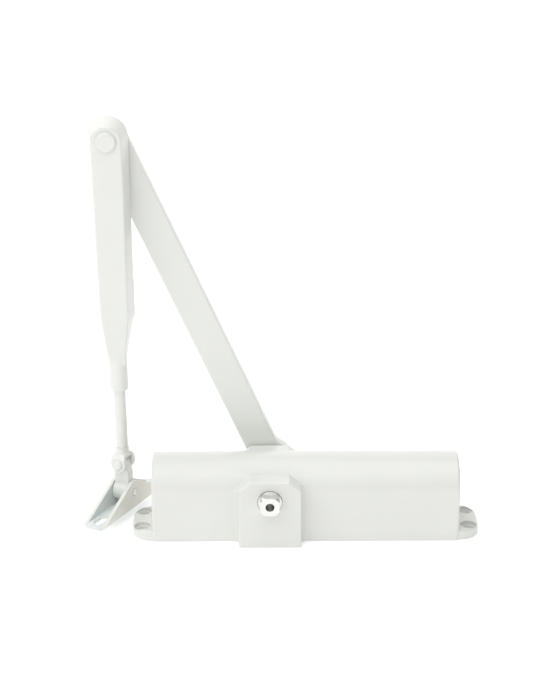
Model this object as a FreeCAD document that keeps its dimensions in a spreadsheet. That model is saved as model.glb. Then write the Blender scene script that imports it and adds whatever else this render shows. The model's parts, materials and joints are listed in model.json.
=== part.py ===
import itertools
import math
import os
import re

import FreeCAD
import Part
import Sketcher
from FreeCAD import Placement, Rotation, Vector

# Surface-mounted rack-and-pinion door closer with a two-piece folding arm.
# Origin: centre of the four fixing holes, on the mounting face.
# +X towards the spring end of the body, +Y towards the arm, +Z away from the door.

doc = FreeCAD.newDocument("door_closer")
sheet = doc.addObject("Spreadsheet::Sheet", "sizes")

DRIVING_SIZES = {
    # body casting
    "hole_span": 190.0, "hole_rise": 19.0, "hole_radius": 3.25, "sink_radius": 4.7, "sink_depth": 2.0,
    "body_length": 177.4, "half_width": 18.5, "axis_height": 28.5, "bore_radius": 14.5,
    "end_rounding": 1.5, "foot_span": 202.0, "foot_width": 35.2, "foot_thick": 5.5,
    "foot_corner": 12.0, "boss_width": 36.0, "boss_span": 53.0, "boss_height": 40.5,
    "boss_cut_across": 7.0, "boss_cut_down": 5.0, "boss_fillet": 3.0, "boss_rounding": 0.9,
    "outlet_wall": 2.4,
    # pinion shaft
    "pinion_at": -20.6, "journal_radius": 6.9, "square_half": 5.5, "near_reach": 33.2,
    "far_reach": 34.0, "gear_half": 13.2, "pitch_radius": 7.5, "tip_radius": 9.0,
    "root_radius": 5.5, "tooth_count": 10.0, "backlash": 0.16, "rack_rise": 0.85,
    "thread_radius": 2.5, "thread_depth": 14.0, "running_gap": 0.05, "bearing_radius": 9.5,
    "far_bore_radius": 10.5, "bearing_start": 14.6, "bearing_long": 6.4, "outlet_radius": 7.15,
    # piston, check valve and spring
    "piston_left": 52.0, "piston_right": 19.0, "window_left": 26.0, "window_right": 12.0,
    "window_up": 9.7, "rack_floor": 9.3, "ball_radius": 2.5, "spring_mean": 11.4,
    "spring_wire": 2.1, "spring_turns": 9.0,
    # end plugs and regulating valves
    "plug_long": 14.0, "plug_socket": 5.0, "valve_across": 12.6, "valve_height": 10.0,
    "valve_radius": 2.9, "valve_long": 19.0,
    # main arm
    "arm_length": 220.0, "arm_lean": 23.97, "arm_half": 9.3, "arm_thick": 7.0, "arm_start": 28.0,
    "hub_radius": 14.0, "elbow_radius": 4.0,
    # forearm, adjuster rod and fork
    "forearm_tilt": 0.7, "forearm_front": 11.0, "forearm_back": 27.0, "forearm_half": 11.4,
    "forearm_draft": 10.0, "shoulder_at": 107.0, "neck_at": 133.0, "mouth_at": 149.5,
    "neck_radius": 5.4, "rod_radius": 3.5, "rod_top": 90.0, "rod_bore_top": 64.0,
    "tenon_radius": 2.4, "collar_top": 10.0, "collar_radius": 3.9, "fork_pin_at": 195.9,
    "fork_turn": 28.0, "fork_thick": 12.0, "fork_gap": 6.0, "fork_half": 5.0,
    "fork_pin_radius": 2.0, "side_shoulder": 1.3, "face_shoulder": 3.0,
    # knuckle and shoe
    "knuckle_drop": 18.6, "knuckle_upper": 5.6, "knuckle_lower": 9.6, "upper_eye": 3.6,
    "lower_eye": 6.0, "shoe_pin_radius": 2.5, "shoe_length": 70.0, "shoe_half": 7.2,
    "shoe_sheet": 2.2, "shoe_drop": 10.6, "shoe_lug": 7.0, "shoe_peak": 1.5,
    "shoe_peak_rounding": 3.0, "shoe_lip": 3.0, "shoe_corner": 2.0, "shoe_slot_at": 26.0,
    "shoe_slot_half": 2.75, "shoe_slot_long": 12.0,
}

for row, (alias, number) in enumerate(DRIVING_SIZES.items(), start=1):
    sheet.set(f"A{row}", alias.replace("_", " "))
    sheet.set(f"B{row}", str(number))
    sheet.setAlias(f"B{row}", alias)
doc.recompute()

ALIAS_WORD = re.compile(r"\b(" + "|".join(sorted(DRIVING_SIZES, key=len, reverse=True)) + r")\b")


def qualified(expression):
    """The expression with each alias named through the sheet."""
    return ALIAS_WORD.sub(r"sizes.\1", str(expression))


def value(expression):
    """The number that an expression of sheet aliases stands for."""
    result = sheet.evalExpression(qualified(expression))
    return float(getattr(result, "Value", result))


def bind(thing, property_path, expression):
    """Tie a property to the sheet."""
    thing.setExpression(property_path, qualified(expression))


# ---------------------------------------------------------------- sketches

def sketch_on(body, role, offset="0"):
    """An empty sketch on one of the body's own origin planes, moved out along its normal."""
    sketch = body.newObject("Sketcher::SketchObject", body.Name + "_sketch")
    plane = next(item for item in body.Origin.OriginFeatures if item.Role == role)
    sketch.AttachmentSupport = [(plane, "")]
    sketch.MapMode = "FlatFace"
    if offset != "0":
        bind(sketch, "AttachmentOffset.Base.z", offset)
    return sketch


def fix_point(sketch, geometry, end, across, up):
    """Hold one point of a sketch at a pair of expressions."""
    for kind, expression, axis in (("DistanceX", across, -2), ("DistanceY", up, -1)):
        number = value(expression)
        if abs(number) < 1e-9:
            sketch.addConstraint(Sketcher.Constraint("PointOnObject", geometry, end, axis))
            continue
        index = sketch.addConstraint(Sketcher.Constraint(kind, -1, 1, geometry, end, number))
        bind(sketch, f"Constraints[{index}]", expression)


def draw_polygon(sketch, corners):
    """A closed outline of straight runs, its corners given as pairs of expressions."""
    first = sketch.GeometryCount
    points = [Vector(value(across), value(up), 0) for across, up in corners]
    for here, there in zip(points, points[1:] + points[:1]):
        sketch.addGeometry(Part.LineSegment(here, there), False)
    for index, (across, up) in enumerate(corners):
        following = first + (index + 1) % len(corners)
        sketch.addConstraint(Sketcher.Constraint("Coincident", first + index, 2, following, 1))
        fix_point(sketch, first + index, 1, across, up)
    return sketch


def draw_box(sketch, left, right, bottom, top):
    return draw_polygon(sketch, [(left, bottom), (right, bottom), (right, top), (left, top)])


def draw_circle(sketch, across, up, radius):
    centre = Vector(value(across), value(up), 0)
    index = sketch.addGeometry(Part.Circle(centre, Vector(0, 0, 1), value(radius)), False)
    fix_point(sketch, index, 3, across, up)
    round_size = sketch.addConstraint(Sketcher.Constraint("Radius", index, value(radius)))
    bind(sketch, f"Constraints[{round_size}]", radius)
    return sketch


def draw_fixed_outline(sketch, points):
    """A closed outline through worked-out points, such as gear teeth, held as one block."""
    vectors = [Vector(across, up, 0) for across, up in points]
    for here, there in zip(vectors, vectors[1:] + vectors[:1]):
        index = sketch.addGeometry(Part.LineSegment(here, there), False)
        sketch.addConstraint(Sketcher.Constraint("Block", index))
    return sketch


# ---------------------------------------------------------------- features

def new_body(label):
    body = doc.addObject("PartDesign::Body", label)
    body.Label = label
    return body


def pad(body, sketch, length, symmetric=False, backwards=False, taper=None):
    feature = body.newObject("PartDesign::Pad", body.Name + "_pad")
    feature.Profile = sketch
    feature.SideType = "Symmetric" if symmetric else "One side"
    feature.Reversed = backwards
    bind(feature, "Length", length)
    if taper is not None:
        bind(feature, "TaperAngle", taper)
    sketch.Visibility = False
    doc.recompute()
    return feature


def pocket(body, sketch, length, symmetric=False, backwards=False):
    """A pocket, checked to have taken something away."""
    before = body.Shape.Volume
    feature = body.newObject("PartDesign::Pocket", body.Name + "_pocket")
    feature.Profile = sketch
    feature.SideType = "Symmetric" if symmetric else "One side"
    feature.Reversed = backwards
    bind(feature, "Length", length)
    doc.recompute()
    if not body.Shape.Volume < before - 0.01:
        raise RuntimeError(f"{feature.Name} cuts nothing")
    return feature


def revolve(body, sketch, axis_role="V_Axis"):
    feature = body.newObject("PartDesign::Revolution", body.Name + "_turned")
    feature.Profile = sketch
    feature.ReferenceAxis = (sketch, [axis_role])
    feature.Angle = 360.0
    doc.recompute()
    return feature


def edges_where(shape, wanted):
    """Names of the edges whose bounding box passes a test."""
    return [f"Edge{number}" for number, edge in enumerate(shape.Edges, start=1)
            if wanted(edge.BoundBox)]


def round_edges(body, wanted, radius, kind="PartDesign::Fillet"):
    """Round or bevel the tip's edges that pass a test."""
    tip = body.Tip
    names = edges_where(tip.Shape, wanted)
    feature = body.newObject(kind, body.Name + "_edge")
    feature.Base = (tip, names)
    bind(feature, "Radius" if kind.endswith("Fillet") else "Size", radius)
    doc.recompute()
    return feature


def turned(label, outline):
    """A turned piece about its own +Z: an outline of (radius, height) expression pairs."""
    body = new_body(label)
    revolve(body, draw_polygon(sketch_on(body, "XZ_Plane"), outline))
    return body


def stepped(*steps):
    """Outline of a stepped shaft from (radius, start height, end height) in order upwards."""
    corners = [("0", steps[0][1])]
    for radius, start, end in steps:
        corners += [(radius, start), (radius, end)]
    corners.append(("0", steps[-1][2]))
    return corners


def ring(inner, outer, start, end):
    return [(inner, start), (outer, start), (outer, end), (inner, end)]


def torus(label, mean_radius, wire_radius):
    seal = doc.addObject("Part::Torus", label)
    seal.Label = label
    bind(seal, "Radius1", mean_radius)
    bind(seal, "Radius2", wire_radius)
    return seal


# ---------------------------------------------------------------- places

PINION = Vector(value("pinion_at"), 0, value("axis_height"))
ALONG_Y = Rotation(Vector(1, 0, 0), -90)
ALONG_X = Rotation(Vector(0, 1, 0), 90)
BACK_ALONG_X = Rotation(Vector(0, 1, 0), -90)
RACK_ABOVE = Rotation(Vector(1, 0, 0), 180)

ARM_TURN = Rotation(Vector(0, 1, 0), -value("arm_lean"))
ELBOW = PINION + ARM_TURN.multVec(Vector(0, 0, value("arm_length")))
FOREARM_TURN = Rotation(Vector(0, 1, 0), -value("forearm_tilt"))
FOREARM_MIDDLE = Vector(0, value("(forearm_front + forearm_back) / 2"), 0)
FOREARM_PLACE = Placement(ELBOW + FOREARM_MIDDLE, FOREARM_TURN)
FORK_TURN = FOREARM_TURN.multiply(Rotation(Vector(0, 0, 1), -value("fork_turn")))
FORK_PLACE = Placement(FOREARM_PLACE.multVec(Vector(0, 0, -value("fork_pin_at"))), FORK_TURN)
SHOE_PLACE = Placement(FORK_PLACE.multVec(Vector(0, 0, -value("knuckle_drop"))), FORK_TURN)


def put(thing, base, rotation=None):
    thing.Placement = Placement(base, rotation or Rotation())
    return thing


# ---------------------------------------------------------------- body casting

def make_body_casting():
    body = new_body("body_casting")
    half_long = value("body_length / 2")
    boss_half = value("boss_span / 2")

    feet = draw_box(sketch_on(body, "XY_Plane"), "-foot_span / 2", "foot_span / 2",
                    "-foot_width / 2", "foot_width / 2")
    pad(body, feet, "foot_thick")
    round_edges(body, lambda box: box.ZLength > 1, "foot_corner")
    round_edges(body, lambda box: box.ZMin > value("foot_thick") - 0.01, "end_rounding")
    for end in ("-hole_span / 2", "hole_span / 2"):
        for side in ("-hole_rise / 2", "hole_rise / 2"):
            sink = sketch_on(body, "XY_Plane", "foot_thick")
            pocket(body, draw_circle(sink, end, side, "sink_radius"), "sink_depth")
            hole = sketch_on(body, "XY_Plane", "foot_thick")
            pocket(body, draw_circle(hole, end, side, "hole_radius"), "foot_thick")

    section = sketch_on(body, "YZ_Plane")
    draw_box(section, "-half_width", "half_width", "0", "axis_height")
    pad(body, section, "body_length", symmetric=True)
    crown = draw_circle(sketch_on(body, "YZ_Plane"), "0", "axis_height", "half_width")
    pad(body, crown, "body_length", symmetric=True)
    round_edges(body, lambda box: abs(abs(box.Center.x) - half_long) < 0.01
                and box.ZMin > value("foot_thick") - 0.01 and box.ZLength > 1, "end_rounding")

    left, right = "pinion_at - boss_width / 2", "pinion_at + boss_width / 2"
    boss = draw_polygon(sketch_on(body, "XZ_Plane"), [
        (left, "0"), (right, "0"), (right, "boss_height - boss_cut_down"),
        (right + " - boss_cut_across", "boss_height"),
        (left + " + boss_cut_across", "boss_height"), (left, "boss_height - boss_cut_down")])
    pad(body, boss, "boss_span", symmetric=True)
    sides = (value(left), value(right))
    round_edges(body, lambda box: box.XLength < 0.01 and box.ZLength > 20
                and min(abs(box.Center.x - side) for side in sides) < 0.01
                and abs(abs(box.Center.y) - value("half_width")) < 0.01, "boss_fillet")
    round_edges(body, lambda box: abs(abs(box.Center.y) - boss_half) < 0.01 and box.ZMax > 1,
                "boss_rounding")

    cylinder = draw_circle(sketch_on(body, "YZ_Plane"), "0", "axis_height", "bore_radius")
    pocket(body, cylinder, "body_length", symmetric=True)
    outlet = draw_circle(sketch_on(body, "XZ_Plane"), "pinion_at", "axis_height", "outlet_radius")
    pocket(body, outlet, "boss_span", symmetric=True)
    near = draw_circle(sketch_on(body, "XZ_Plane"), "pinion_at", "axis_height", "bearing_radius")
    pocket(body, near, "boss_span / 2 - outlet_wall", backwards=True)
    far = draw_circle(sketch_on(body, "XZ_Plane"), "pinion_at", "axis_height", "far_bore_radius")
    pocket(body, far, "boss_span / 2", backwards=False)

    for side in ("-valve_across", "valve_across"):
        valve = sketch_on(body, "YZ_Plane", "-body_length / 2")
        draw_circle(valve, side, "valve_height", "valve_radius + running_gap")
        pocket(body, valve, "valve_long", backwards=True)
    return body


# ---------------------------------------------------------------- pinion shaft

def involute(angle):
    return math.tan(angle) - angle


def gear_gap():
    """Outline of the gap between two teeth, centred on the sketch's vertical axis."""
    pitch, tip, root = value("pitch_radius"), value("tip_radius"), value("root_radius")
    teeth = value("tooth_count")
    pressure = math.radians(20)
    base = pitch * math.cos(pressure)
    tooth_half = math.pi / (2 * teeth) - value("backlash") / (2 * pitch)

    def gap_half(radius):
        here = math.acos(min(1, base / max(radius, base)))
        return math.pi / teeth - (tooth_half + involute(pressure) - involute(here))

    steps = 6
    radii = [root, base] + [base + (tip - base) * step / steps for step in range(1, steps + 1)]
    side = [(radius, gap_half(radius)) for radius in radii] + [(tip + 1, gap_half(tip))]
    right = [(radius * math.sin(half), radius * math.cos(half)) for radius, half in side]
    left = [(-across, up) for across, up in reversed(right)]
    return right + left


def square_off(body, height, length, backwards):
    """Cut four flats over a length of the shaft."""
    sketch = sketch_on(body, "XY_Plane", height)
    draw_box(sketch, "-2 * square_half", "2 * square_half", "-2 * square_half", "2 * square_half")
    draw_box(sketch, "-square_half", "square_half", "-square_half", "square_half")
    pocket(body, sketch, length, backwards=backwards)


def make_pinion_shaft():
    bevel = "journal_radius - 0.9"
    outline = [("0", "-near_reach"), (bevel, "-near_reach"), ("journal_radius", "-near_reach + 0.9"),
               ("journal_radius", "-gear_half"), ("tip_radius", "-gear_half"),
               ("tip_radius", "gear_half"), ("journal_radius", "gear_half"),
               ("journal_radius", "far_reach - 0.9"), (bevel, "far_reach"), ("0", "far_reach")]
    body = turned("pinion_shaft", outline)
    gap = sketch_on(body, "XY_Plane", "gear_half")
    draw_fixed_outline(gap, gear_gap())
    cut = pocket(body, gap, "2 * gear_half")
    teeth = body.newObject("PartDesign::PolarPattern", "gear_teeth")
    teeth.Originals = [cut]
    teeth.Axis = (next(item for item in body.Origin.OriginFeatures if item.Role == "Z_Axis"), [""])
    teeth.Angle = 360.0
    bind(teeth, "Occurrences", "tooth_count")
    body.Tip = teeth
    doc.recompute()

    square_off(body, "-near_reach", "near_reach - boss_span / 2 - 0.4", backwards=True)
    square_off(body, "far_reach", "far_reach - arm_start + 0.2", backwards=False)
    for height, backwards in (("-near_reach", True), ("far_reach", False)):
        thread = draw_circle(sketch_on(body, "XY_Plane", height), "0", "0", "thread_radius")
        pocket(body, thread, "thread_depth", backwards=backwards)
    return put(body, PINION, ALONG_Y)


def make_bearings_and_seals():
    inner = "journal_radius + running_gap"
    start, end = "bearing_start", "bearing_start + bearing_long"
    seats = (("near", "bearing_radius", -1), ("far", "far_bore_radius", 1))
    for name, bore, side in seats:
        low, high = (start, end) if side > 0 else (f"-({end})", f"-{start}")
        put(turned(f"pinion_bearing_{name}", ring(inner, f"{bore} - 0.02", low, high)),
            PINION, ALONG_Y)
        wire = f"({bore} - 0.03 - journal_radius - 0.03) / 2"
        seal = torus(f"pinion_seal_{name}", f"(journal_radius + {bore}) / 2", wire)
        middle = value(f"{end} + {wire}") + 0.1
        put(seal, PINION + Vector(0, side * middle, 0), ALONG_Y)
    collar = ring("outlet_radius", "far_bore_radius - 0.02", "boss_span / 2 - 1.7",
                  "boss_span / 2 + 0.4")
    put(turned("bearing_retainer", collar), PINION, ALONG_Y)


# ---------------------------------------------------------------- piston and spring

def rack_window():
    """Outline of the piston's window: rack teeth along one side, plain on the other three."""
    left, right, top = -value("window_left"), value("window_right"), value("window_up")
    pitch, floor = value("pitch_radius"), -value("rack_floor")
    spacing = 2 * math.pi * pitch / value("tooth_count")
    slope = math.tan(math.radians(20))
    crest = -pitch + value("rack_rise")

    def half_tooth(height):
        return spacing / 4 - value("backlash") / 2 - (height + pitch) * slope

    points = [(right, floor), (right, top), (left, top), (left, floor)]
    for tooth in range(math.ceil(left / spacing), math.floor(right / spacing) + 1):
        centre = tooth * spacing
        wide, narrow = half_tooth(floor), half_tooth(crest)
        if left < centre - wide and centre + wide < right:
            points += [(centre - wide, floor), (centre - narrow, crest),
                       (centre + narrow, crest), (centre + wide, floor)]
    return points


def make_piston():
    body = new_body("rack_piston")
    skirt = sketch_on(body, "YZ_Plane", "-piston_left")
    pad(body, draw_circle(skirt, "0", "0", "bore_radius - running_gap"),
        "piston_left + piston_right")
    round_edges(body, lambda box: True, "0.8", "PartDesign::Chamfer")
    window = draw_fixed_outline(sketch_on(body, "XZ_Plane"), rack_window())
    pocket(body, window, "2 * bore_radius", symmetric=True)
    valve_seat = sketch_on(body, "YZ_Plane", "-piston_left")
    pocket(body, draw_circle(valve_seat, "0", "0", "ball_radius + 0.6"), "12", backwards=True)
    passage = sketch_on(body, "YZ_Plane", "-piston_left")
    pocket(body, draw_circle(passage, "0", "0", "ball_radius - 1"), "piston_left - 20",
           backwards=True)
    return put(body, PINION, RACK_ABOVE)


def make_check_valve():
    ball = doc.addObject("Part::Sphere", "check_valve_ball")
    ball.Label = "check_valve_ball"
    bind(ball, "Radius", "ball_radius")
    put(ball, PINION + Vector(-value("piston_left - 9.3"), 0, 0))
    cage = turned("check_valve_cage", ring("ball_radius - 1", "ball_radius + 0.55", "0.4", "4"))
    put(cage, PINION + Vector(-value("piston_left"), 0, 0), ALONG_X)


def make_spring():
    room = "body_length / 2 - plug_long - pinion_at - piston_right"
    helix = doc.addObject("Part::Helix", "spring_line")
    bind(helix, "Radius", "spring_mean")
    bind(helix, "Height", f"{room} - 2 * spring_wire")
    bind(helix, "Pitch", f"({room} - 2 * spring_wire) / spring_turns")
    wire = doc.addObject("Part::Circle", "spring_wire")
    bind(wire, "Radius", "spring_wire")
    bind(wire, "Placement.Base.x", "spring_mean")
    wire.Placement = Placement(Vector(value("spring_mean"), 0, 0), Rotation(Vector(1, 0, 0), 90))
    spring = doc.addObject("Part::Sweep", "main_spring")
    spring.Label = "main_spring"
    spring.Sections = [wire]
    spring.Spine = (helix, ["Edge1"])
    spring.Solid = True
    spring.Frenet = True
    start = PINION + Vector(value("piston_right + spring_wire"), 0, 0)
    put(spring, start, ALONG_X)


# ---------------------------------------------------------------- plugs and valves

def make_end_plug(name, place, rotation):
    outer = "bore_radius - 0.03"
    groove = "bore_radius - 2.7"
    outline = [("0", "0.3"), (f"{outer} - 0.8", "0.3"), (outer, "1.1"), (outer, "8.9"),
               (groove, "8.9"), (groove, "11.7"), (outer, "11.7"), (outer, "plug_long"),
               ("0", "plug_long")]
    body = turned(f"end_plug_{name}", outline)
    socket = sketch_on(body, "XY_Plane", "0")
    corner = "plug_socket / cos(30)"
    draw_polygon(socket, [(f"{corner} * cos({turn})", f"{corner} * sin({turn})")
                          for turn in range(10, 370, 60)])
    pocket(body, socket, "6.5", backwards=True)
    put(body, place, rotation)
    seal = torus(f"plug_seal_{name}", "bore_radius - 1.36", "1.3")
    put(seal, place + rotation.multVec(Vector(0, 0, 10.3)), rotation)


def make_valve(name, side):
    shank, groove = "valve_radius", "valve_radius - 0.9"
    outline = [("0", "0.3"), (f"{shank} - 0.3", "0.3"), (shank, "0.6"), (shank, "8"),
               (groove, "8"), (groove, "9.2"), (shank, "9.2"), (shank, "13"),
               ("0.6", "valve_long - 1"), ("0", "valve_long - 1")]
    body = turned(f"{name}_valve", outline)
    slot = draw_box(sketch_on(body, "XY_Plane", "0"), "-0.5", "0.5", "-4", "4")
    pocket(body, slot, "1.6", backwards=True)
    place = Vector(-value("body_length / 2"), side * value("valve_across"), value("valve_height"))
    put(body, place, ALONG_X)
    seal = torus(f"{name}_valve_seal", "valve_radius - 0.45", "0.43")
    put(seal, place + Vector(8.6, 0, 0), ALONG_X)


# ---------------------------------------------------------------- main arm and elbow

def make_main_arm():
    body = new_body("main_arm")
    bar = draw_box(sketch_on(body, "XZ_Plane"), "-arm_half", "arm_half", "0", "arm_length")
    pad(body, bar, "arm_thick")
    for height, radius in (("0", "hub_radius"), ("arm_length", "arm_half")):
        pad(body, draw_circle(sketch_on(body, "XZ_Plane"), "0", height, radius), "arm_thick")
    round_edges(body, lambda box: box.YLength > 1 and 1 < box.Center.z < 40, "hub_radius / 2")
    round_edges(body, lambda box: box.YLength < 0.01, "0.8")
    reach = "(square_half + running_gap) / cos(45)"
    square = draw_polygon(sketch_on(body, "XZ_Plane"), [
        (f"{reach} * cos({turn} - arm_lean)", f"{reach} * sin({turn} - arm_lean)")
        for turn in (45, 135, 225, 315)])
    pocket(body, square, "arm_thick", backwards=True)
    eye = sketch_on(body, "XZ_Plane")
    pocket(body, draw_circle(eye, "0", "arm_length", "elbow_radius + 0.02"), "arm_thick",
           backwards=True)
    return put(body, PINION + Vector(0, value("arm_start + arm_thick"), 0), ARM_TURN)


def make_arm_fixings():
    washer = turned("arm_washer", ring("thread_radius + 0.6", "9", "0", "1.5"))
    seat = PINION + Vector(0, value("arm_start + arm_thick"), 0)
    put(washer, seat, ALONG_Y)

    screw = turned("arm_screw", stepped(("thread_radius - 0.03", "-11", "1.5"),
                                        ("6.4", "1.5", "2.2"), ("5.8", "2.2", "6.2")))
    corner = "5 / cos(30)"
    head = sketch_on(screw, "XY_Plane", "2.2")
    draw_circle(head, "0", "0", "12")
    draw_polygon(head, [(f"{corner} * cos({turn})", f"{corner} * sin({turn})")
                        for turn in range(0, 360, 60)])
    pocket(screw, head, "4.5", backwards=True)
    put(screw, seat, ALONG_Y)


def make_elbow():
    under_head = "forearm_front - 0.15"
    back = "arm_start + arm_thick"
    outline = [("0", f"{under_head} - 1.5"), ("4.4", f"{under_head} - 1.5"),
               ("5.4", f"{under_head} - 1.1"), ("5.7", f"{under_head} - 0.5"), ("5.7", under_head),
               ("elbow_radius", under_head), ("elbow_radius", back), ("6.2", back),
               ("6.2", f"{back} + 0.7"), ("4.8", f"{back} + 1.8"), ("0", f"{back} + 2.2")]
    put(turned("elbow_pin", outline), ELBOW, ALONG_Y)
    washer = ring("elbow_radius + 0.05", "8.4", "forearm_back + 0.15", "arm_start - 0.05")
    put(turned("elbow_washer", washer), ELBOW, ALONG_Y)


# ---------------------------------------------------------------- forearm, rod and fork

def make_forearm():
    body = new_body("forearm")
    depth = "(forearm_back - forearm_front)"
    back = f"-{depth} / 2"
    foot_half = "(forearm_half - 0.7)"
    blade = draw_polygon(sketch_on(body, "XZ_Plane", back), [
        ("-forearm_half", "0"), (f"-{foot_half}", "-shoulder_at"), (foot_half, "-shoulder_at"),
        ("forearm_half", "0")])
    pad(body, blade, depth, taper="-forearm_draft")
    round_end = draw_circle(sketch_on(body, "XZ_Plane", back), "0", "0", "forearm_half")
    pad(body, round_end, depth, taper="-forearm_draft")

    top = "-shoulder_at + 4"
    front_half = f"({foot_half} - {depth} * tan(forearm_draft))"
    wide = draw_polygon(sketch_on(body, "XY_Plane", top), [
        (f"-{front_half}", f"-{depth} / 2"), (front_half, f"-{depth} / 2"),
        (foot_half, f"{depth} / 2"), (f"-{foot_half}", f"{depth} / 2")])
    neck_square = "neck_radius * 0.86"
    narrow = draw_polygon(sketch_on(body, "XY_Plane", "-neck_at"), [
        (f"-{neck_square}", f"-{neck_square}"), (neck_square, f"-{neck_square}"),
        (neck_square, neck_square), (f"-{neck_square}", neck_square)])
    taper = body.newObject("PartDesign::AdditiveLoft", "forearm_shoulder")
    taper.Profile = wide
    taper.Sections = [narrow]
    doc.recompute()

    neck = draw_circle(sketch_on(body, "XY_Plane", "-mouth_at"), "0", "0", "neck_radius")
    pad(body, neck, "mouth_at - neck_at + 6")
    bore = sketch_on(body, "XY_Plane", "-mouth_at")
    pocket(body, draw_circle(bore, "0", "0", "rod_radius + running_gap"),
           "mouth_at - rod_bore_top", backwards=True)
    eye = draw_circle(sketch_on(body, "XZ_Plane"), "0", "0", "elbow_radius + running_gap")
    pocket(body, eye, f"2 * {depth}", symmetric=True)
    thread = draw_circle(sketch_on(body, "XZ_Plane"), "0", "-mouth_at + 8", "1.95")
    pocket(body, thread, "neck_radius + 2")
    body.Placement = FOREARM_PLACE

    clamp = turned("rod_clamp_screw", stepped(("1.9", "rod_radius + 0.1", "neck_radius + 0.2"),
                                              ("3.2", "neck_radius + 0.2", "neck_radius + 2.4")))
    slot = draw_box(sketch_on(clamp, "XY_Plane", "neck_radius + 2.4"), "-0.5", "0.5", "-4", "4")
    pocket(clamp, slot, "1.1")
    seat = Placement(Vector(0, 0, -value("mouth_at - 8")), ALONG_Y)
    clamp.Placement = FOREARM_PLACE.multiply(seat)


def make_rod():
    end = "fork_pin_at - collar_top - 0.1"
    tip = "rod_radius - 0.6"
    tenon_hole = "tenon_radius + running_gap"
    depth = "13"
    outline = [("0", "-rod_top"), (tip, "-rod_top"), ("rod_radius", "-rod_top - 0.6"),
               ("rod_radius", f"-({end})"), (tenon_hole, f"-({end})"),
               (tenon_hole, f"-({end}) + {depth}"), ("0", f"-({end}) + {depth}")]
    turned("adjuster_rod", outline).Placement = FOREARM_PLACE


def make_fork():
    body = new_body("rod_end_fork")
    block_top = "upper_eye + 2.6"
    block = draw_polygon(sketch_on(body, "XZ_Plane"), [
        ("-fork_half", "0"), ("fork_half", "0"), ("fork_half", "side_shoulder"),
        ("collar_radius", block_top), ("-collar_radius", block_top),
        ("-fork_half", "side_shoulder")])
    pad(body, block, "fork_thick", symmetric=True)
    pad(body, draw_circle(sketch_on(body, "XZ_Plane"), "0", "0", "fork_half"), "fork_thick",
        symmetric=True)
    round_edges(body, lambda box: box.YLength < 0.01, "0.6")
    gap = draw_box(sketch_on(body, "YZ_Plane"), "-fork_gap / 2", "fork_gap / 2",
                   "-2 * fork_half", "upper_eye + 0.4")
    pocket(body, gap, "4 * fork_half", symmetric=True)
    for sign in ("-", ""):
        slope = draw_polygon(sketch_on(body, "YZ_Plane"), [
            (f"{sign}fork_thick", "face_shoulder"), (f"{sign}fork_thick / 2", "face_shoulder"),
            (f"{sign}collar_radius", block_top), (f"{sign}fork_thick", block_top)])
        pocket(body, slope, "4 * fork_half", symmetric=True)
    collar = draw_circle(sketch_on(body, "XY_Plane", block_top), "0", "0", "collar_radius")
    pad(body, collar, f"collar_top - ({block_top})")
    tenon = draw_circle(sketch_on(body, "XY_Plane", "collar_top"), "0", "0", "tenon_radius")
    pad(body, tenon, "12")
    hole = draw_circle(sketch_on(body, "XZ_Plane"), "0", "0", "fork_pin_radius + 0.02")
    pocket(body, hole, "2 * fork_thick", symmetric=True)
    body.Placement = FORK_PLACE

    half = "fork_thick / 2 + 0.02"
    outline = [("0", f"-({half}) - 1.2"), ("2.4", f"-({half}) - 1.2"), ("3.2", f"-({half}) - 0.6"),
               ("3.2", f"-({half})"), ("fork_pin_radius", f"-({half})"),
               ("fork_pin_radius", half), ("2.9", half), ("2.4", f"{half} + 0.8"),
               ("0", f"{half} + 0.8")]
    pin = turned("fork_pin", outline)
    pin.Placement = FORK_PLACE.multiply(Placement(Vector(), ALONG_Y))


def make_knuckle():
    body = new_body("knuckle")
    eye = draw_circle(sketch_on(body, "XZ_Plane"), "0", "0", "upper_eye")
    pad(body, eye, "knuckle_upper", symmetric=True)
    half = "knuckle_lower / 2"
    neck = draw_polygon(sketch_on(body, "XZ_Plane"), [
        (f"-{half}", "-knuckle_drop"), (half, "-knuckle_drop"), (half, "-upper_eye * 1.6"),
        ("upper_eye", "0"), ("-upper_eye", "0"), (f"-{half}", "-upper_eye * 1.6")])
    pad(body, neck, "knuckle_upper", symmetric=True)
    disc = draw_circle(sketch_on(body, "YZ_Plane"), "0", "-knuckle_drop", "lower_eye")
    pad(body, disc, "knuckle_lower", symmetric=True)
    upper = draw_circle(sketch_on(body, "XZ_Plane"), "0", "0", "fork_pin_radius + running_gap")
    pocket(body, upper, "4 * knuckle_upper", symmetric=True)
    lower = draw_circle(sketch_on(body, "YZ_Plane"), "0", "-knuckle_drop",
                        "shoe_pin_radius + running_gap")
    pocket(body, lower, "4 * shoe_half", symmetric=True)
    body.Placement = FORK_PLACE


# ---------------------------------------------------------------- shoe

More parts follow.
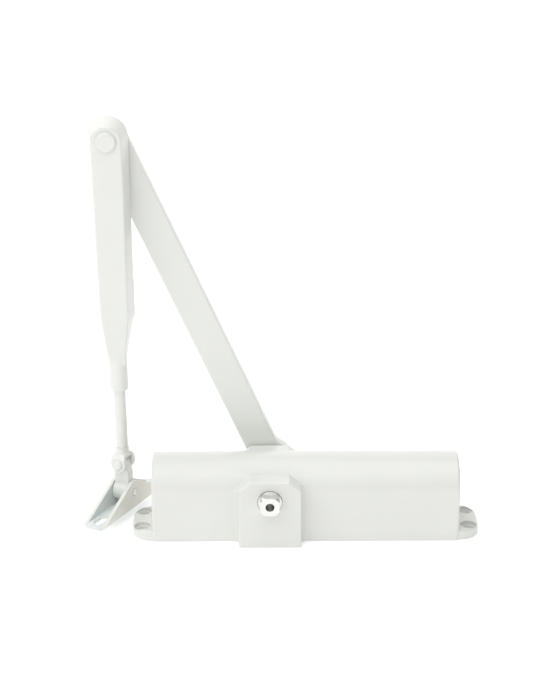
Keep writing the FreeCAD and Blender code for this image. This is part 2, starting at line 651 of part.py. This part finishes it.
def make_shoe():
    body = new_body("arm_shoe")
    end, low, floor = "shoe_length / 2", "-shoe_drop", "-shoe_drop + shoe_sheet"
    start = "shoe_length / 2 - shoe_lip"
    side = draw_polygon(sketch_on(body, "YZ_Plane"), [
        (f"-{end}", low), (end, low), (end, floor), (f"({start})", floor),
        ("shoe_peak", "shoe_lug"), ("-shoe_peak", "shoe_lug"), (f"-({start})", floor),
        (f"-{end}", floor)])
    pad(body, side, "2 * shoe_half", symmetric=True)
    round_edges(body, lambda box: box.XLength > 10
                and box.Center.z > value("shoe_lug") - 0.01, "shoe_peak_rounding")
    inside = draw_box(sketch_on(body, "XZ_Plane"), "-shoe_half + shoe_sheet",
                      "shoe_half - shoe_sheet", f"{low} + shoe_sheet", "2 * shoe_lug")
    pocket(body, inside, "2 * shoe_length", symmetric=True)
    long_bottom = lambda box: box.YLength > 60 and box.ZLength < 0.01
    round_edges(body, lambda box: long_bottom(box) and box.Center.z < -value("shoe_drop") + 0.1,
                "shoe_sheet - 0.5")
    for across, along in itertools.product((-1, 1), repeat=2):
        side, tip = f"{across} * shoe_half", f"{along} * {end}"
        corner = draw_polygon(sketch_on(body, "XY_Plane", low), [
            (side, tip), (side, f"{along} * ({end} - shoe_corner)"),
            (f"{across} * (shoe_half - shoe_corner)", tip)])
        pocket(body, corner, "2 * shoe_lug", backwards=True)
    for place in ("-shoe_slot_at", "shoe_slot_at"):
        reach = "shoe_slot_long / 2 - shoe_slot_half"
        slot = draw_box(sketch_on(body, "XY_Plane", low), "-shoe_slot_half", "shoe_slot_half",
                        f"{place} - ({reach})", f"{place} + {reach}")
        pocket(body, slot, "2 * shoe_sheet", backwards=True)
        for slot_end in (f"{place} - ({reach})", f"{place} + {reach}"):
            round_end = draw_circle(sketch_on(body, "XY_Plane", low), "0", slot_end,
                                    "shoe_slot_half")
            pocket(body, round_end, "2 * shoe_sheet", backwards=True)
    hole = draw_circle(sketch_on(body, "YZ_Plane"), "0", "0", "shoe_pin_radius + 0.02")
    pocket(body, hole, "4 * shoe_half", symmetric=True)
    body.Placement = SHOE_PLACE

    half = "shoe_half + 0.15"
    pin = turned("shoe_pin", [("0", f"-({half})"), ("2.1", f"-({half})"),
                              ("shoe_pin_radius", f"-({half}) + 0.4"),
                              ("shoe_pin_radius", f"{half} - 0.4"), ("2.1", half), ("0", half)])
    pin.Placement = SHOE_PLACE.multiply(Placement(Vector(), ALONG_X))


# ---------------------------------------------------------------- build, check and write

make_body_casting()
make_pinion_shaft()
make_bearings_and_seals()
make_piston()
make_check_valve()
make_spring()
for name, direction, rotation in (("left", -1, ALONG_X), ("right", 1, BACK_ALONG_X)):
    end = Vector(direction * value("body_length / 2"), 0, value("axis_height"))
    make_end_plug(name, end, rotation)
make_valve("speed", 1)
make_valve("latch", -1)
make_main_arm()
make_arm_fixings()
make_elbow()
make_forearm()
make_rod()
make_fork()
make_knuckle()
make_shoe()
doc.recompute()

PIECE_TYPES = ("PartDesign::Body", "Part::Torus", "Part::Sphere", "Part::Sweep")
pieces = [item for item in doc.Objects if item.TypeId in PIECE_TYPES]
for item in doc.Objects:
    if "Invalid" in item.State or "Error" in item.State:
        raise RuntimeError(f"{item.Name} ({item.Label}) did not build: {item.State}")
for piece in pieces:
    shape = piece.Shape
    if shape.isNull() or not shape.isValid() or len(shape.Solids) != 1:
        raise RuntimeError(f"{piece.Label} is not one valid solid")

os.makedirs("parts", exist_ok=True)
for piece in pieces:
    piece.Shape.exportStep(f"parts/{piece.Label}.step")
print(f"{len(pieces)} pieces written")
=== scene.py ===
import json
import math

import bmesh
import bpy
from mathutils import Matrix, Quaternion, Vector


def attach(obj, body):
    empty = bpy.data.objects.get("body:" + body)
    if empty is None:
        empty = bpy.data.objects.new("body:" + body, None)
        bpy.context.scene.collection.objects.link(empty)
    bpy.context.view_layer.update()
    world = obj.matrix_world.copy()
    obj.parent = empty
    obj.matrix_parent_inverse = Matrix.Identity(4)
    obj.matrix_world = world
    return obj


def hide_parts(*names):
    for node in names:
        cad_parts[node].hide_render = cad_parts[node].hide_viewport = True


# Looks for the door closer: painted body, folding arm and shoe, on a white studio sweep.

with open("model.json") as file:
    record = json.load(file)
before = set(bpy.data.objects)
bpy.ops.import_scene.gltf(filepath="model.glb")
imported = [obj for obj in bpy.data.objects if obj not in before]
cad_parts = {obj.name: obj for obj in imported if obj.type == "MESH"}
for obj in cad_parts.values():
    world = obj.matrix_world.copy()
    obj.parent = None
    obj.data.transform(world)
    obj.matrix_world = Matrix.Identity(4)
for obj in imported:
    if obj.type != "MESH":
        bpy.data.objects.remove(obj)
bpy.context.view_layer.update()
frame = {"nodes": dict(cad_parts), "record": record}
nodes = frame["nodes"]
node_slot = {part["node"]: part["material_slot"] for part in frame["record"]["subparts"]}
node_body = {node: body for body, names in frame["record"]["behaviour"]["bodies"].items()
             for node in names}


# ---------------------------------------------------------------- materials

def new_material(name):
    material = bpy.data.materials.new(name)
    material.use_nodes = True
    tree = material.node_tree
    return material, tree, tree.nodes["Principled BSDF"]


def add_noise(tree, scale, detail=4.0, roughness=0.5, stretch=(1, 1, 1)):
    """Noise in the object's own frame, with its scale in cycles per metre."""
    place = tree.nodes.new("ShaderNodeTexCoord")
    mapping = tree.nodes.new("ShaderNodeMapping")
    mapping.inputs["Scale"].default_value = stretch
    noise = tree.nodes.new("ShaderNodeTexNoise")
    noise.inputs["Scale"].default_value = scale
    noise.inputs["Detail"].default_value = detail
    noise.inputs["Roughness"].default_value = roughness
    tree.links.new(place.outputs["Object"], mapping.inputs["Vector"])
    tree.links.new(mapping.outputs["Vector"], noise.inputs["Vector"])
    return noise.outputs["Fac"]


def remap(tree, factor, low, high, start=0.3, end=0.7):
    node = tree.nodes.new("ShaderNodeMapRange")
    node.inputs["From Min"].default_value = start
    node.inputs["From Max"].default_value = end
    node.inputs["To Min"].default_value = low
    node.inputs["To Max"].default_value = high
    tree.links.new(factor, node.inputs["Value"])
    return node.outputs["Result"]


# The Mix node's colour sockets share their names with its other sockets, so these are positions.
MIX_FIRST, MIX_SECOND, MIX_RESULT = 6, 7, 2


def mix_colours(tree, factor, first, second):
    node = tree.nodes.new("ShaderNodeMix")
    node.data_type = "RGBA"
    tree.links.new(factor, node.inputs["Factor"])
    for socket, colour in ((node.inputs[MIX_FIRST], first), (node.inputs[MIX_SECOND], second)):
        if isinstance(colour, tuple):
            socket.default_value = (*colour, 1)
        else:
            tree.links.new(colour, socket)
    return node.outputs[MIX_RESULT]


def add_bump(tree, shader, layers):
    """Stack bump layers, each (height, depth in metres)."""
    normal = None
    for height, depth in layers:
        bump = tree.nodes.new("ShaderNodeBump")
        bump.inputs["Strength"].default_value = 1.0
        bump.inputs["Distance"].default_value = depth
        tree.links.new(height, bump.inputs["Height"])
        if normal:
            tree.links.new(normal, bump.inputs["Normal"])
        normal = bump.outputs["Normal"]
    tree.links.new(normal, shader.inputs["Normal"])


EDGE_SAMPLES = 6


def edge_mask(tree, radius, start, end):
    """1 near convex edges, 0 on open faces: how far a rounded normal leans from the true one."""
    bevel = tree.nodes.new("ShaderNodeBevel")
    bevel.samples = EDGE_SAMPLES
    bevel.inputs["Radius"].default_value = radius
    geometry = tree.nodes.new("ShaderNodeNewGeometry")
    dot = tree.nodes.new("ShaderNodeVectorMath")
    dot.operation = "DOT_PRODUCT"
    tree.links.new(bevel.outputs["Normal"], dot.inputs[0])
    tree.links.new(geometry.outputs["Normal"], dot.inputs[1])
    return remap(tree, dot.outputs["Value"], 1.0, 0.0, start, end)


def multiply(tree, first, second):
    node = tree.nodes.new("ShaderNodeMath")
    node.operation = "MULTIPLY"
    for socket, source in zip(node.inputs, (first, second)):
        tree.links.new(source, socket)
    return node.outputs["Value"]


# How the shoe lies at rest, as in part.py, and how far from its middle the darker, bluer colour
# between the flanges reaches: partly zinc plating, partly painted shade.
FORK_TURN = math.radians(28.0)
FOREARM_TILT = math.radians(0.7)
SHOE_PIN = Vector((-0.10736, 0.019, 0.01504))
PLATED_AND_SHADED_WITHIN = 0.0055
PAINTED_BEYOND = 0.0062


def between_flanges(tree):
    """1 between the shoe's two flanges, fading to 0 in the thickness of each flange."""
    across = Vector((math.cos(FORK_TURN) * math.cos(FOREARM_TILT), -math.sin(FORK_TURN),
                     math.cos(FORK_TURN) * math.sin(FOREARM_TILT)))
    place = tree.nodes.new("ShaderNodeTexCoord")
    offset = tree.nodes.new("ShaderNodeVectorMath")
    offset.operation = "SUBTRACT"
    offset.inputs[1].default_value = SHOE_PIN
    dot = tree.nodes.new("ShaderNodeVectorMath")
    dot.operation = "DOT_PRODUCT"
    dot.inputs[1].default_value = across
    distance = tree.nodes.new("ShaderNodeMath")
    distance.operation = "ABSOLUTE"
    tree.links.new(place.outputs["Object"], offset.inputs[0])
    tree.links.new(offset.outputs["Vector"], dot.inputs[0])
    tree.links.new(dot.outputs["Value"], distance.inputs[0])
    return remap(tree, distance.outputs["Value"], 1.0, 0.0, PLATED_AND_SHADED_WITHIN, PAINTED_BEYOND)


CLOUD_SHADE = 0.975
RUBBED_WIDTH = 0.0006
PEEL_DEPTH = 0.000018
DUST_DEPTH = 0.000003


def make_paint(name, colour, worn, rough, coat=0.35, plated_and_shaded=None):
    """Stoved gloss paint: faint cloudiness, orange peel, and edges rubbed a little duller.

    With a plated_and_shaded colour, all that lies between the shoe's flanges takes that colour
    instead: partly zinc plating, partly painted shade where the flanges shade each other."""
    material, tree, shader = new_material(name)
    cloud = add_noise(tree, 22.0, 3.0)
    shade = tuple(channel * CLOUD_SHADE for channel in colour)
    tone = mix_colours(tree, remap(tree, cloud, 0.0, 1.0), colour, shade)
    rub = multiply(tree, edge_mask(tree, RUBBED_WIDTH, 0.9, 0.995),
                   remap(tree, add_noise(tree, 260.0, 6.0, 0.7), 0.0, 0.8, 0.5, 0.7))
    tone = mix_colours(tree, rub, tone, worn)
    if plated_and_shaded:
        # darker, bluer colour between the shoe's flanges: partly zinc plating, partly painted
        # shade
        tone = mix_colours(tree, between_flanges(tree), tone, plated_and_shaded)
    tree.links.new(tone, shader.inputs["Base Color"])
    shader.inputs["Coat Weight"].default_value = coat
    shader.inputs["Coat Roughness"].default_value = 0.12
    shader.inputs["Specular IOR Level"].default_value = 0.5
    smear = remap(tree, add_noise(tree, 60.0, 5.0, 0.6), rough - 0.05, rough + 0.08)
    tree.links.new(smear, shader.inputs["Roughness"])
    peel = add_noise(tree, 900.0, 2.0, 0.45)
    dust = add_noise(tree, 3200.0, 2.0, 0.5)
    add_bump(tree, shader, [(peel, PEEL_DEPTH), (dust, DUST_DEPTH)])
    return material


def make_steel(name, colour, dark, rough, stretch=(1, 1, 1), scratch=0.000012):
    """Machined or plated steel: fine marks along one direction, with duller patches."""
    material, tree, shader = new_material(name)
    marks = add_noise(tree, 900.0, 6.0, 0.65, stretch)
    patches = add_noise(tree, 90.0, 4.0, 0.6)
    tone = mix_colours(tree, remap(tree, patches, 0.0, 0.7), colour, dark)
    tone = mix_colours(tree, remap(tree, marks, 0.0, 0.35), tone, dark)
    tree.links.new(tone, shader.inputs["Base Color"])
    shader.inputs["Metallic"].default_value = 1.0
    tree.links.new(remap(tree, marks, rough - 0.08, rough + 0.12), shader.inputs["Roughness"])
    add_bump(tree, shader, [(marks, scratch)])
    return material


BLACK = (0.016, 0.016, 0.017)
DUSTY_BLACK = (0.03, 0.03, 0.03)
RUBBER_GRAIN_DEPTH = 0.00001


def make_rubber(name):
    material, tree, shader = new_material(name)
    grain = add_noise(tree, 2500.0, 4.0)
    tone = mix_colours(tree, remap(tree, grain, 0.0, 1.0), BLACK, DUSTY_BLACK)
    tree.links.new(tone, shader.inputs["Base Color"])
    tree.links.new(remap(tree, grain, 0.5, 0.7), shader.inputs["Roughness"])
    add_bump(tree, shader, [(grain, RUBBER_GRAIN_DEPTH)])
    return material


WHITE = (0.735, 0.745, 0.71)
DULL_WHITE = (0.68, 0.685, 0.65)
materials = {
    "body_paint": make_paint("body_paint", WHITE, DULL_WHITE, rough=0.32),
    "arm_paint": make_paint("arm_paint", (0.76, 0.77, 0.735), DULL_WHITE, rough=0.36),
    # The shoe's colour between its flanges is darker and bluer: partly zinc plating, partly
    # painted shade.
    "shoe_paint": make_paint("shoe_paint", (0.80, 0.795, 0.735), (0.65, 0.65, 0.61),
                             rough=0.42, coat=0.15, plated_and_shaded=(0.71, 0.75, 0.735)),
    "shaft_steel": make_steel("shaft_steel", (0.84, 0.84, 0.81), (0.7, 0.7, 0.68), 0.34,
                              stretch=(1, 0.15, 1)),
    "bearing_steel": make_steel("bearing_steel", (0.7, 0.7, 0.69), (0.45, 0.45, 0.45), 0.25),
    "piston_steel": make_steel("piston_steel", (0.5, 0.51, 0.52), (0.34, 0.34, 0.35), 0.3,
                               stretch=(0.1, 1, 1)),
    "spring_steel": make_steel("spring_steel", (0.3, 0.31, 0.33), (0.16, 0.16, 0.18), 0.35),
    "ball_steel": make_steel("ball_steel", (0.8, 0.8, 0.8), (0.7, 0.7, 0.7), 0.1,
                             scratch=0.000001),
    "plug_steel": make_steel("plug_steel", (0.74, 0.74, 0.72), (0.56, 0.56, 0.55), 0.34),
    "fastener_zinc": make_steel("fastener_zinc", (0.72, 0.73, 0.74), (0.55, 0.56, 0.58), 0.33),
    "valve_brass": make_steel("valve_brass", (0.78, 0.6, 0.3), (0.55, 0.4, 0.18), 0.28),
    "seal_rubber": make_rubber("seal_rubber"),
}


# ---------------------------------------------------------------- rounded copies of the pieces

MERGE_WITHIN = 0.000002
FLAT_ANGLE = math.radians(0.4)
SHARP_ANGLE = math.radians(28.0)
BEVEL_SEGMENTS = 3


def rounded_copy(node, width):
    """A copy of a CAD node with its flat faces made whole and its sharp edges rounded."""
    mesh = nodes[node].data.copy()
    piece = bpy.data.objects.new(f"{node}_finished", mesh)
    bpy.context.scene.collection.objects.link(piece)
    work = bmesh.new()
    work.from_mesh(mesh)
    bmesh.ops.remove_doubles(work, verts=work.verts, dist=MERGE_WITHIN)
    bmesh.ops.dissolve_limit(work, angle_limit=FLAT_ANGLE, verts=work.verts, edges=work.edges)
    work.to_mesh(mesh)
    work.free()
    bevel = piece.modifiers.new("rounded edges", "BEVEL")
    bevel.width = width
    bevel.segments = BEVEL_SEGMENTS
    bevel.limit_method = "ANGLE"
    bevel.angle_limit = SHARP_ANGLE
    bevel.use_clamp_overlap = True
    bevel.harden_normals = False
    normals = piece.modifiers.new("even normals", "WEIGHTED_NORMAL")
    normals.keep_sharp = True
    mesh.shade_smooth()
    mesh.materials.clear()
    mesh.materials.append(materials[node_slot[node]])
    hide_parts(node)
    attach(piece, node_body[node])


def softened_copy(node, voxel, passes):
    """A copy of a CAD node remeshed evenly, with every edge and crease relaxed as on a casting."""
    mesh = nodes[node].data.copy()
    piece = bpy.data.objects.new(f"{node}_finished", mesh)
    bpy.context.scene.collection.objects.link(piece)
    remesh = piece.modifiers.new("even mesh", "REMESH")
    remesh.mode = "VOXEL"
    remesh.voxel_size = voxel
    remesh.use_smooth_shade = True
    relax = piece.modifiers.new("soft edges", "SMOOTH")
    relax.factor = 0.5
    relax.iterations = passes
    mesh.materials.clear()
    mesh.materials.append(materials[node_slot[node]])
    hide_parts(node)
    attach(piece, node_body[node])


# Node: voxel size in metres, and smoothing passes.
SOFTENED = {
    "forearm": (0.00045, 14),
    "rod_end_fork": (0.0002, 8),
    "knuckle": (0.0002, 8),
}
# Node: width of its rounded edges in metres.
ROUNDED = {
    "arm_shoe": 0.0005,
    "pinion_shaft": 0.0003,
    "elbow_pin": 0.00035,
    "arm_screw": 0.0003,
    "arm_washer": 0.00025,
    "elbow_washer": 0.00015,
    "fork_pin": 0.00025,
    "shoe_pin": 0.0002,
    "rod_clamp_screw": 0.0002,
    "bearing_retainer": 0.0002,
    "end_plug_left": 0.0003,
    "end_plug_right": 0.0003,
    "speed_valve": 0.00015,
    "latch_valve": 0.00015,
}
for node, (voxel, passes) in SOFTENED.items():
    softened_copy(node, voxel, passes)
for node, width in ROUNDED.items():
    rounded_copy(node, width)
for node, shape in nodes.items():
    shape.data.materials.clear()
    shape.data.materials.append(materials[node_slot[node]])


# ---------------------------------------------------------------- floor, light and camera

FLOOR_BELOW = 0.0005


def make_stage():
    """A white floor that curves up into a wall a long way behind the object."""
    front, bend, wall, height, half_width = -2.2, 0.8, 1.6, 3.0, 3.0
    steps = 16
    profile = [Vector((0, front, 0))]
    for step in range(steps + 1):
        turn = math.radians(90 * step / steps)
        profile.append(Vector((0, wall - bend + bend * math.sin(turn),
                               bend - bend * math.cos(turn))))
    profile.append(Vector((0, wall, height)))
    mesh = bpy.data.meshes.new("sweep")
    verts = [(side * half_width, point.y, point.z) for side in (-1, 1) for point in profile]
    count = len(profile)
    faces = [(i, i + 1, count + i + 1, count + i) for i in range(count - 1)]
    mesh.from_pydata(verts, [], faces)
    mesh.shade_smooth()
    sweep = bpy.data.objects.new("sweep", mesh)
    bpy.context.scene.collection.objects.link(sweep)
    material, tree, shader = new_material("sweep_white")
    grain = add_noise(tree, 40.0)
    tone = mix_colours(tree, grain, (0.95, 0.95, 0.95), (0.93, 0.93, 0.93))
    tree.links.new(tone, shader.inputs["Base Color"])
    shader.inputs["Roughness"].default_value = 0.9
    shader.inputs["Emission Color"].default_value = (1, 1, 1, 1)
    shader.inputs["Emission Strength"].default_value = 0.25
    mesh.materials.append(material)
    sweep.location.z = -FLOOR_BELOW


def add_area_light(name, position, target, size, power):
    light = bpy.data.lights.new(name, "AREA")
    light.shape = "RECTANGLE"
    light.size, light.size_y = size
    light.energy = power
    lamp = bpy.data.objects.new(name, light)
    lamp.location = position
    lamp.rotation_mode = "QUATERNION"
    lamp.rotation_quaternion = (Vector(target) - Vector(position)).to_track_quat("-Z", "Y")
    bpy.context.scene.collection.objects.link(lamp)


def make_lights():
    middle = (-0.02, 0, 0.1)
    add_area_light("front_box", (-0.7, -1.44, 1.3), middle, size=(2.4, 1.6), power=13.0)
    add_area_light("top_box", (-0.2, -0.15, 1.8), middle, size=(2.4, 1.6), power=19.0)
    add_area_light("key", (-1.3, -0.5, 1.1), middle, size=(0.5, 0.5), power=2.5)
    world = bpy.data.worlds.new("studio")
    world.use_nodes = True
    background = world.node_tree.nodes["Background"]
    background.inputs["Color"].default_value = (1, 1, 1, 1)
    background.inputs["Strength"].default_value = 0.39
    bpy.context.scene.world = world
    bpy.context.scene.view_settings.view_transform = "Standard"


def make_camera():
    """The product photograph's view: from the front, 21 degrees above level."""
    data = bpy.data.cameras.new("camera")
    data.sensor_width = 36.0
    data.lens = 89.6
    camera = bpy.data.objects.new("camera", data)
    camera.location = (-0.02047, -0.92015, 0.46847)
    looks_at = Vector((-0.02024, 0, 0.1114))
    aim = looks_at - camera.location
    roll = Quaternion((0, 0, 1), math.radians(-0.22))
    camera.rotation_mode = "QUATERNION"
    camera.rotation_quaternion = aim.to_track_quat("-Z", "Y") @ roll
    bpy.context.scene.collection.objects.link(camera)
    bpy.context.scene.camera = camera


make_stage()
make_lights()
make_camera()
